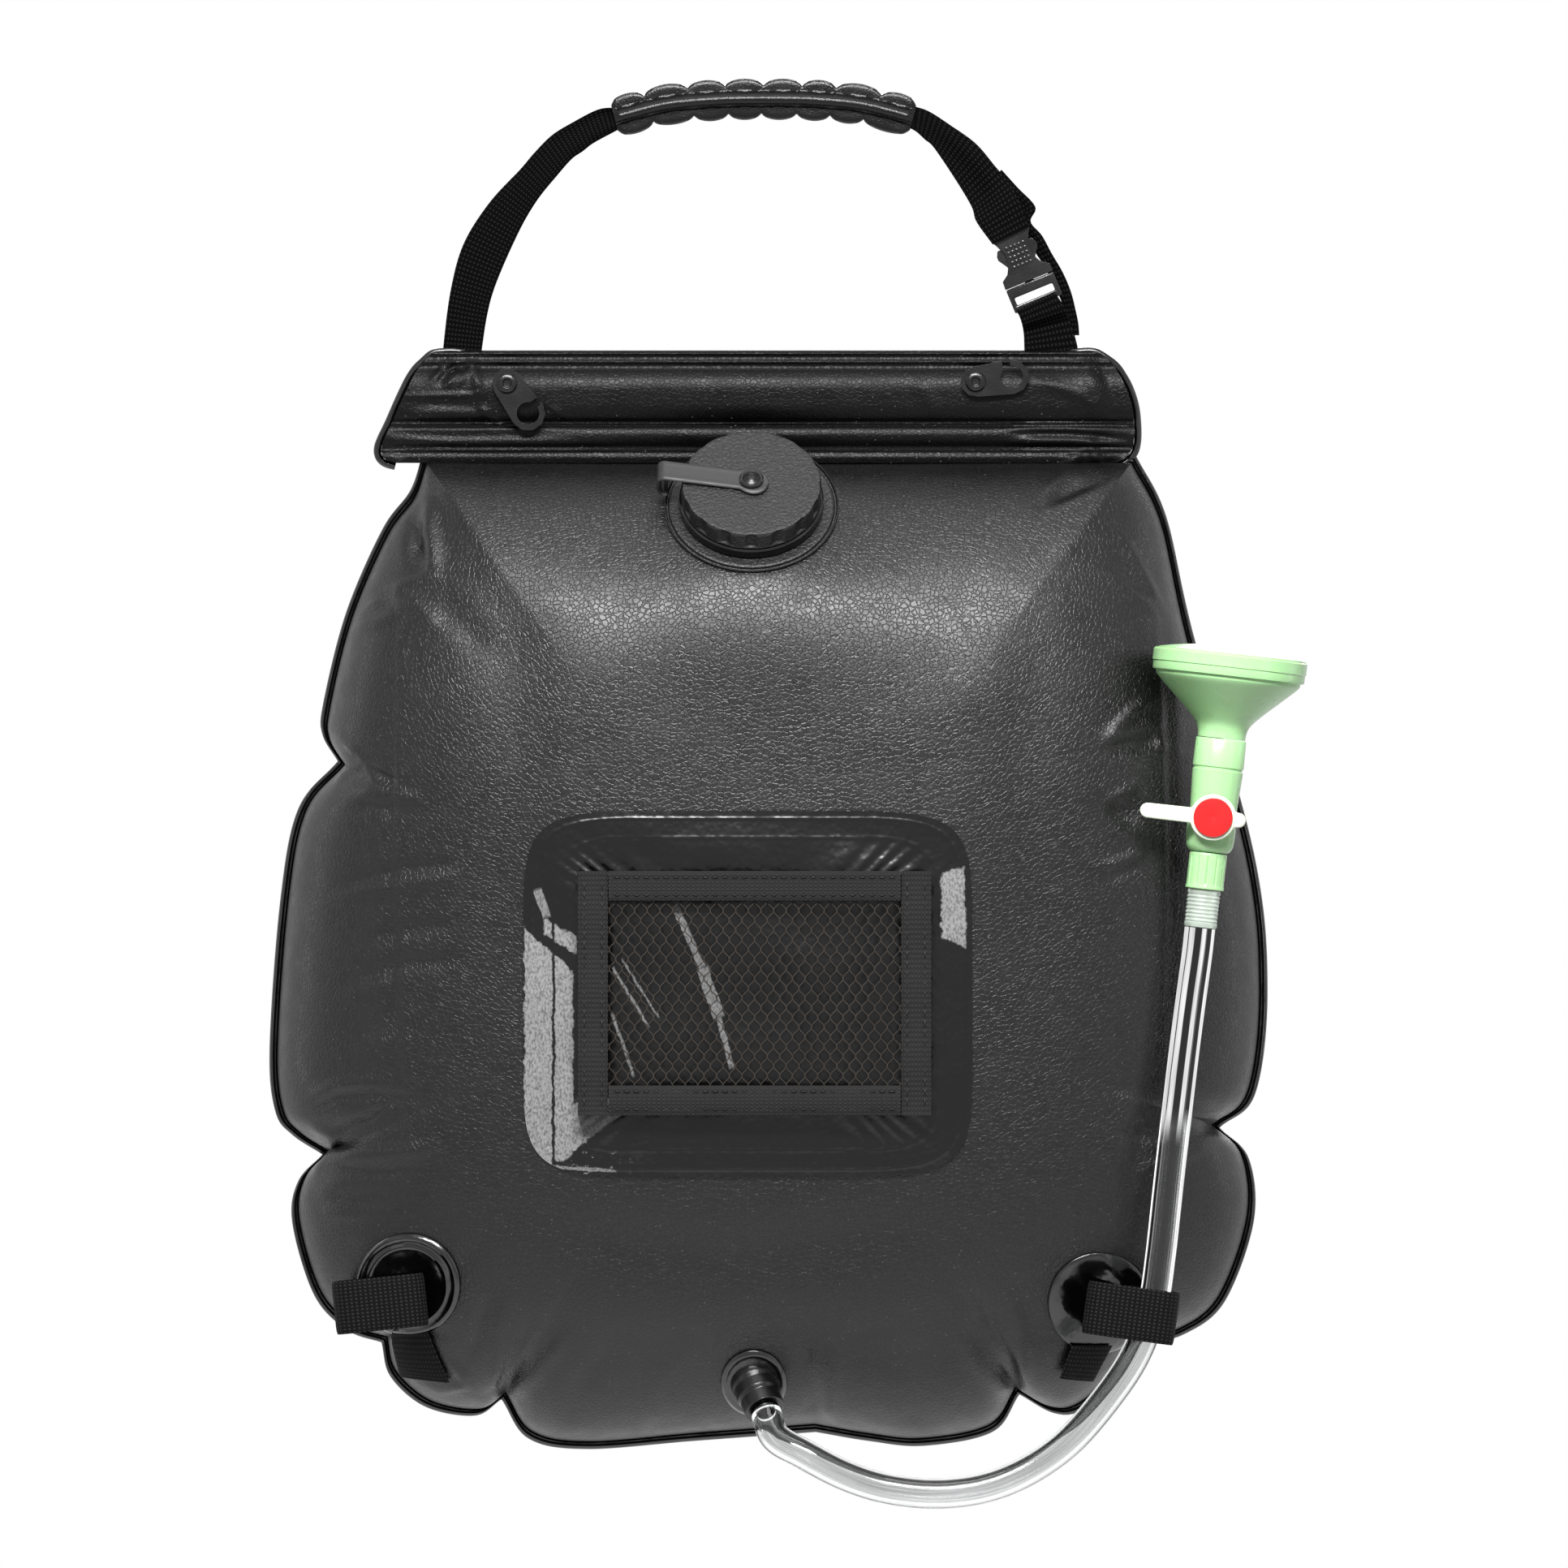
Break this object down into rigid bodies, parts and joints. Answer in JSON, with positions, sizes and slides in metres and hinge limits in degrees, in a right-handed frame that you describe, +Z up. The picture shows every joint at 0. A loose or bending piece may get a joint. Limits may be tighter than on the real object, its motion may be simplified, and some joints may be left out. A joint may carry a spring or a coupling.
{
  "type": "camp shower bag",
  "caption": "Puffed sheet water bag hung from a webbing handle, with a screw filler, a net pocket and a hose that carries a valve and a shower funnel.",
  "frame": {"origin": "the underside of the grip at its middle, where a hand, a hook or a branch holds the bag", "axes": "+Z up along the hanging bag, the front with the pocket faces -Y, +X to the viewer's right where the hose hangs"},
  "size_m": [0.4253, 0.1642, 0.5849],
  "materials": {
    "bag_sheet": "embossed black sheet, satin",
    "black_trim": "glossy black welded trim",
    "black_webbing": "woven black webbing",
    "black_plastic": "moulded black plastic",
    "black_rubber": "soft black rubber",
    "window_film": "glossy film over black",
    "net": "dark brown-grey mesh",
    "clear_tube": "clear flexible tube",
    "clear_ferrule": "milky threaded ferrule",
    "green_plastic": "pale green moulded plastic",
    "cream_plastic": "cream moulded plastic",
    "red_plastic": "red moulded plastic"
  },
  "bodies": {
    "handle": {"grip_sleeve": "black_rubber", "left_strap": "black_webbing", "right_strap": "black_webbing", "lower_strap": "black_webbing", "strap_tail": "black_webbing", "buckle_plug": "black_plastic"},
    "buckle_socket": {"buckle_socket": "black_plastic"},
    "prong_left": {"prong_left": "black_plastic"},
    "prong_right": {"prong_right": "black_plastic"},
    "left_clip": {"left_clip": "black_plastic"},
    "right_clip": {"right_clip": "black_plastic"},
    "cap_tether": {"cap_tether": "black_plastic", "tether_rivet": "black_plastic"},
    "filler_cap": {"filler_cap": "black_plastic", "cap_gasket": "black_rubber"},
    "coupling_sleeve": {"coupling_sleeve": "green_plastic"},
    "valve_lever": {"valve_lever": "cream_plastic", "valve_plug": "cream_plastic", "lever_disc": "red_plastic"},
    "bag": {"back_panel": "bag_sheet", "binding_bottom": "black_webbing", "binding_left": "black_webbing", "binding_right": "black_webbing", "binding_top": "black_webbing", "filler_flange": "black_trim", "filler_neck": "black_plastic", "front_panel": "bag_sheet", "header_back": "bag_sheet", "header_front": "bag_sheet", "header_left_piping": "black_trim", "header_right_piping": "black_trim", "header_rod": "black_plastic", "hose": "clear_tube", "hose_ferrule": "clear_ferrule", "left_clip_rivet": "black_plastic", "left_corner_patch": "black_trim", "left_corner_strap": "black_webbing", "left_hose_loop": "black_webbing", "left_strap_anchor": "black_webbing", "outlet_barb": "black_plastic", "outlet_flange": "black_trim", "outlet_spout": "black_plastic", "pocket_net": "net", "right_clip_rivet": "black_plastic", "right_corner_patch": "black_webbing", "right_corner_strap": "black_webbing", "right_hose_loop": "black_webbing", "right_strap_anchor": "black_webbing", "seam_piping": "black_trim", "shower_funnel": "green_plastic", "spray_plate": "green_plastic", "valve_body": "green_plastic", "window_film": "window_film"}
  },
  "joints": [
    {"name": "handle_fold", "type": "hinge", "parent": "handle", "child": "bag", "pos_m": [0, 0, -0.0935], "axis": [1, 0, 0], "range_deg": [-90, 90]},
    {"name": "socket_release", "type": "slide", "parent": "handle", "child": "buckle_socket", "axis": [-0.3811, 0, 0.9245], "range_m": [0, 0.024], "deforming": ["right_strap"]},
    {"name": "left_prong_squeeze", "type": "hinge", "parent": "handle", "child": "prong_left", "pos_m": [0.10334, 0, -0.06744], "axis": [0, 1, 0], "range_deg": [0, 6], "stiffness_Nm_per_rad": 0.2},
    {"name": "right_prong_squeeze", "type": "hinge", "parent": "handle", "child": "prong_right", "pos_m": [0.1148, 0, -0.06272], "axis": [0, -1, 0], "range_deg": [0, 6], "stiffness_Nm_per_rad": 0.2},
    {"name": "left_clip_swivel", "type": "hinge", "parent": "bag", "child": "left_clip", "pos_m": [-0.105, -0.008, -0.10814], "axis": [0, 1, 0], "range_deg": [-90, 90]},
    {"name": "right_clip_swivel", "type": "hinge", "parent": "bag", "child": "right_clip", "pos_m": [0.08733, -0.008, -0.10747], "axis": [0, 1, 0], "range_deg": [-90, 90]},
    {"name": "cap_lift", "type": "slide", "parent": "bag", "child": "cap_tether", "axis": [0, -0.7547, 0.6561], "range_m": [0, 0.03]},
    {"name": "cap_turn", "type": "hinge", "parent": "cap_tether", "child": "filler_cap", "pos_m": [-0.00467, -0.03744, -0.15949], "axis": [0, -0.7547, 0.6561], "continuous": true},
    {"name": "sleeve_turn", "type": "hinge", "parent": "bag", "child": "coupling_sleeve", "pos_m": [0.18041, -0.058, -0.31555], "axis": [0.1115, 0, 0.9938], "continuous": true},
    {"name": "lever_turn", "type": "hinge", "parent": "bag", "child": "valve_lever", "pos_m": [0.18369, -0.058, -0.28623], "axis": [0, 1, 0], "range_deg": [0, 90]}
  ]
}
